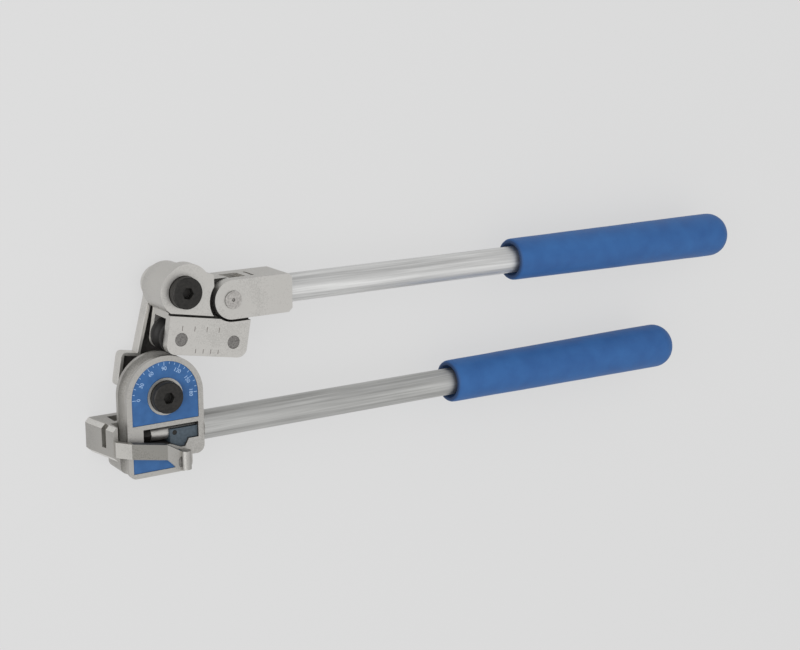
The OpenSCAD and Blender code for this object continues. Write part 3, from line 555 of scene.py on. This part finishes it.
# %% Two helpers for Geometry Nodes
def node_tree(name, sizes):
    tree = bpy.data.node_groups.new(name, "GeometryNodeTree")
    tree.interface.new_socket("Geometry", in_out="OUTPUT", socket_type="NodeSocketGeometry")
    for label, kind in sizes.items():
        tree.interface.new_socket(label, in_out="INPUT", socket_type=kind)
    return tree, add(tree, "NodeGroupInput").outputs


def made_by_nodes(name, tree, values, body):
    piece = put_mesh(name, [], [])
    modifier = piece.modifiers.new("shape", "NODES")
    modifier.node_group = tree
    for item in tree.interface.items_tree:
        if item.in_out == "INPUT":
            modifier[item.identifier] = values[item.name]
    plain_mesh(piece)
    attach(piece, body)
    print(name, len(piece.data.polygons), "faces")


# %% A ring of ticks by Geometry Nodes
dial_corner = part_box("dial_plate")[1]
dial_top = dial_corner.z
dial_r = dial_corner.x
ring, size = node_tree("tick_ring", {
    "Count": "NodeSocketInt", "Step": "NodeSocketFloat", "Outer Radius": "NodeSocketFloat",
    "Short": "NodeSocketFloat", "Long": "NodeSocketFloat", "Width": "NodeSocketFloat",
    "Height": "NodeSocketFloat", "Level": "NodeSocketFloat"})
index = add(ring, "GeometryNodeInputIndex").outputs["Index"]
angle = add(ring, "ShaderNodeMath", {0: index, 1: size["Step"]}, operation="MULTIPLY").outputs[0]
third = add(ring, "ShaderNodeMath", {0: index, 1: 3.0}, operation="MODULO").outputs[0]
is_long = add(ring, "ShaderNodeMath", {0: third, 1: 0.5}, operation="LESS_THAN").outputs[0]
gain = add(ring, "ShaderNodeMath", {0: size["Long"], 1: size["Short"]}, operation="SUBTRACT").outputs[0]
length = add(ring, "ShaderNodeMath", {0: is_long, 1: gain, 2: size["Short"]},
             operation="MULTIPLY_ADD").outputs[0]
radius = add(ring, "ShaderNodeMath", {0: length, 1: -0.5, 2: size["Outer Radius"]},
             operation="MULTIPLY_ADD").outputs[0]
cosine = add(ring, "ShaderNodeMath", {0: angle}, operation="COSINE").outputs[0]
sine = add(ring, "ShaderNodeMath", {0: angle}, operation="SINE").outputs[0]
x = add(ring, "ShaderNodeMath", {0: cosine, 1: radius}, operation="MULTIPLY").outputs[0]
y = add(ring, "ShaderNodeMath", {0: sine, 1: radius}, operation="MULTIPLY").outputs[0]
spot = add(ring, "ShaderNodeCombineXYZ", {"X": x, "Y": y, "Z": size["Level"]}).outputs[0]
points = add(ring, "GeometryNodePoints", {"Count": size["Count"], "Position": spot}).outputs[0]
bar = add(ring, "GeometryNodeMeshCube", {"Size": (1.0, 1.0, 1.0)}).outputs["Mesh"]
turned = add(ring, "ShaderNodeCombineXYZ", {"Z": angle}).outputs[0]
shape = add(ring, "ShaderNodeCombineXYZ", {"X": length, "Y": size["Width"], "Z": size["Height"]}).outputs[0]
placed = add(ring, "GeometryNodeInstanceOnPoints", {"Points": points, "Instance": bar, "Rotation": turned,
                                                    "Scale": shape}).outputs[0]
real = add(ring, "GeometryNodeRealizeInstances", {"Geometry": placed}).outputs[0]
inked = add(ring, "GeometryNodeSetMaterial", {"Geometry": real, "Material": pale_ink}).outputs[0]
add(ring, "NodeGroupOutput", {"Geometry": inked})
made_by_nodes("dial_ticks", ring, {
    "Count": 19, "Step": math.radians(10), "Outer Radius": dial_r - 0.5 * MM, "Short": 1.3 * MM,
    "Long": 2.2 * MM, "Width": 0.3 * MM, "Height": 0.06 * MM, "Level": dial_top}, "die_body")

# %% Plain numbers round the dial
number_size = 3.3 * MM
number_r = 16.9 * MM


def number_mesh(words, place):
    text = bpy.data.curves.new("number", "FONT")
    text.body = words
    text.size = number_size
    text.align_x = "CENTER"
    text.align_y = "CENTER"
    text.extrude = 0.03 * MM
    holder = bpy.data.objects.new("number", text)
    bpy.context.scene.collection.objects.link(holder)
    mesh = bpy.data.meshes.new_from_object(holder.evaluated_get(bpy.context.evaluated_depsgraph_get()))
    mesh.transform(place)
    bpy.data.objects.remove(holder)
    return mesh


numbers = bmesh.new()
for degrees in range(0, 181, 30):
    polar = math.radians(180 - degrees)
    spot = Matrix.Translation((number_r * math.cos(polar), number_r * math.sin(polar), dial_top))
    upright = Matrix.Rotation(polar - math.pi / 2, 4, "Z")
    numbers.from_mesh(number_mesh(str(degrees), spot @ upright))
dial_numbers = put_mesh("dial_numbers", [], [])
numbers.to_mesh(dial_numbers.data)
numbers.free()
dial_numbers.data.materials.append(pale_ink)
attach(dial_numbers, "die_body")
print("dial numbers", len(dial_numbers.data.polygons), "faces")

# %% [markdown]
# ## Scale lines on the side plate
# The front plate of the roll support has two short rows of stamped lines. They repeat at an even step, so
# a second small tree lays bars along a line. The rows lie in the plate's own frame, which is turned ten
# degrees from the bench's.

# %% Rows of stamped lines
row, size = node_tree("line_row", {
    "Count": "NodeSocketInt", "Start": "NodeSocketVector", "Step": "NodeSocketVector",
    "Bar": "NodeSocketVector", "Turn": "NodeSocketVector"})
spots = add(row, "GeometryNodeMeshLine", {"Count": size["Count"], "Start Location": size["Start"],
                                          "Offset": size["Step"]}, mode="OFFSET").outputs["Mesh"]
bar = add(row, "GeometryNodeMeshCube", {"Size": size["Bar"]}).outputs["Mesh"]
placed = add(row, "GeometryNodeInstanceOnPoints", {"Points": spots, "Instance": bar}).outputs[0]
real = add(row, "GeometryNodeRealizeInstances", {"Geometry": placed}).outputs[0]
turned = add(row, "GeometryNodeTransform", {"Geometry": real, "Rotation": size["Turn"]}).outputs[0]
cut = add(row, "GeometryNodeSetMaterial", {"Geometry": turned, "Material": engraving}).outputs[0]
add(row, "NodeGroupOutput", {"Geometry": cut})
for name, count, start, step, tall in (("upper_lines", 4, (2.6, 42.4), 8.1, 3.0),
                                       ("lower_lines", 4, (13.0, 29.2), 5.0, 2.6)):
    made_by_nodes(name, row, {
        "Count": count, "Start": (start[0] * MM, start[1] * MM, plate_front * MM),
        "Step": (step * MM, 0, 0), "Bar": (0.45 * MM, tall * MM, 0.05 * MM), "Turn": (0, 0, -plate_turn)},
        "roll_support")

# %% [markdown]
# ## Dipped vinyl grips
# Each grip is a sleeve of vinyl that was dipped or pulled over the rod: a little thicker towards its
# outer end, fully rounded there, and with a soft rolled lip at its open end. Rings of points are laid
# along a profile, which runs from the end of the rod's bore out over the lip to the rounded end, and each
# ring is joined to the next. Two slow noises make the wall a little uneven, as dipping does, and an
# attribute marks the lip, which is darkened as painted shade.

# %% Profile of a grip
end_wall = 5.9
rod_bore_r = 9.08
end_flat_r = 2.6
cap_r = 1.3
row_step = 3
end_rows = 14


def grip_profile(length, inner_r, outer_r, bore_r):
    # Each point: how far from the open end, the radius, and how much painted shade it gets
    lip = [(length - end_wall, bore_r, 1.0), (6.0, bore_r, 1.0), (3.0, bore_r, 1.0),
           (2.4, bore_r + 1.3, 1.0), (0.8, bore_r + 1.7, 1.0), (0.1, bore_r + 2.3, 1.0),
           (0.0, inner_r - 2.2, 1.0), (0.25, inner_r - 1.3, 0.9), (0.8, inner_r - 0.5, 0.4),
           (1.7, inner_r - 0.1, 0.1)]
    end_round = outer_r - end_flat_r
    body_end = length - end_round
    rows = round((body_end - row_step) / row_step)
    body = []
    for i in range(rows + 1):
        s = row_step + (body_end - row_step) * i / rows
        body.append((s, inner_r + (outer_r - inner_r) * min(1, s / (length - 2 * end_round)), 0.0))
    end = []
    for i in range(1, end_rows + 1):
        a = math.pi / 2 * i / end_rows
        end.append((body_end + end_round * math.sin(a), end_flat_r + end_round * math.cos(a), 0.0))
    return lip + body + end + [(length, cap_r, 0.0)]


# %% Skin of a grip
around = 80
taper = 1.5
skin_room = 0.15
bare_r = 11
slow_mm, slow_depth = 22, 0.1
quick_mm, quick_depth = 7, 0.04


def vinyl_grip(name, node, body, seed):
    low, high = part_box(node)
    axis_y = (low.y + high.y) / 2
    axis_z = (low.z + high.z) / 2
    length = (high.x - low.x) / MM
    outer_r = (high.y - low.y) / 2 / MM - skin_room
    profile = grip_profile(length, outer_r - taper, outer_r, rod_bore_r)
    verts, faces, marks = [], [], []
    for s, r, lip in profile:
        for k in range(around):
            a = 2 * math.pi * k / around
            spot = Vector((s + seed, r * math.cos(a), r * math.sin(a)))
            uneven = slow_depth * noise.noise(spot / slow_mm) + quick_depth * noise.noise(spot / quick_mm)
            wall = (r + (uneven if r > bare_r and 1 < s < length - 0.5 else 0)) * MM
            verts.append((low.x + s * MM, axis_y + wall * math.cos(a), axis_z + wall * math.sin(a)))
            marks.append(lip)
    for i in range(len(profile) - 1):
        for k in range(around):
            n = (k + 1) % around
            faces.append((i * around + k, i * around + n, (i + 1) * around + n, (i + 1) * around + k))
    faces.append(list(range(around)))
    faces.append([(len(profile) - 1) * around + k for k in range(around)])
    piece = put_mesh(name, verts, faces)
    lip_mark = piece.data.attributes.new("lip", "FLOAT", "POINT")
    lip_mark.data.foreach_set("value", marks)
    work = bmesh.new()
    work.from_mesh(piece.data)
    bmesh.ops.recalc_face_normals(work, faces=work.faces)
    work.to_mesh(piece.data)
    work.free()
    piece.data.shade_smooth()
    piece.data.materials.append(blue_vinyl)
    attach(piece, body)
    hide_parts(node)
    print(name, "length", round(length, 1), "mm, faces", len(faces))


vinyl_grip("fixed_vinyl_grip", "fixed_grip", "die_body", 0)
vinyl_grip("lever_vinyl_grip", "lever_grip", "lever", 400)
